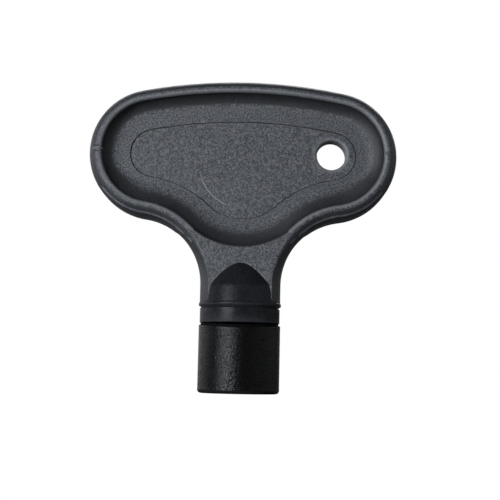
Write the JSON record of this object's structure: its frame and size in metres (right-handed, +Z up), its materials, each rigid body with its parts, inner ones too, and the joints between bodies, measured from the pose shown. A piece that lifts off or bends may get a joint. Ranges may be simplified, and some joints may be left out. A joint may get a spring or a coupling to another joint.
{
  "type": "radiator bleed key",
  "caption": "Tee-handled key with a dished plastic bow and a key ring hole, moulded over a blackened steel insert with a square socket that turns a radiator's air vent.",
  "frame": {"origin": "centre of the socket's mouth, on the flat end of the collar that the key stands on", "axes": "+Z up the shank towards the bow, X across the bow with the key ring hole at +X, -Y out of the front face"},
  "size_m": [0.0424, 0.0114, 0.043],
  "materials": {
    "handle_plastic": "fine spark-eroded grain",
    "blackened_steel": "blackened, satin, finely speckled"
  },
  "bodies": {
    "root": {"handle": "handle_plastic", "socket_insert": "blackened_steel"}
  },
  "joints": []
}
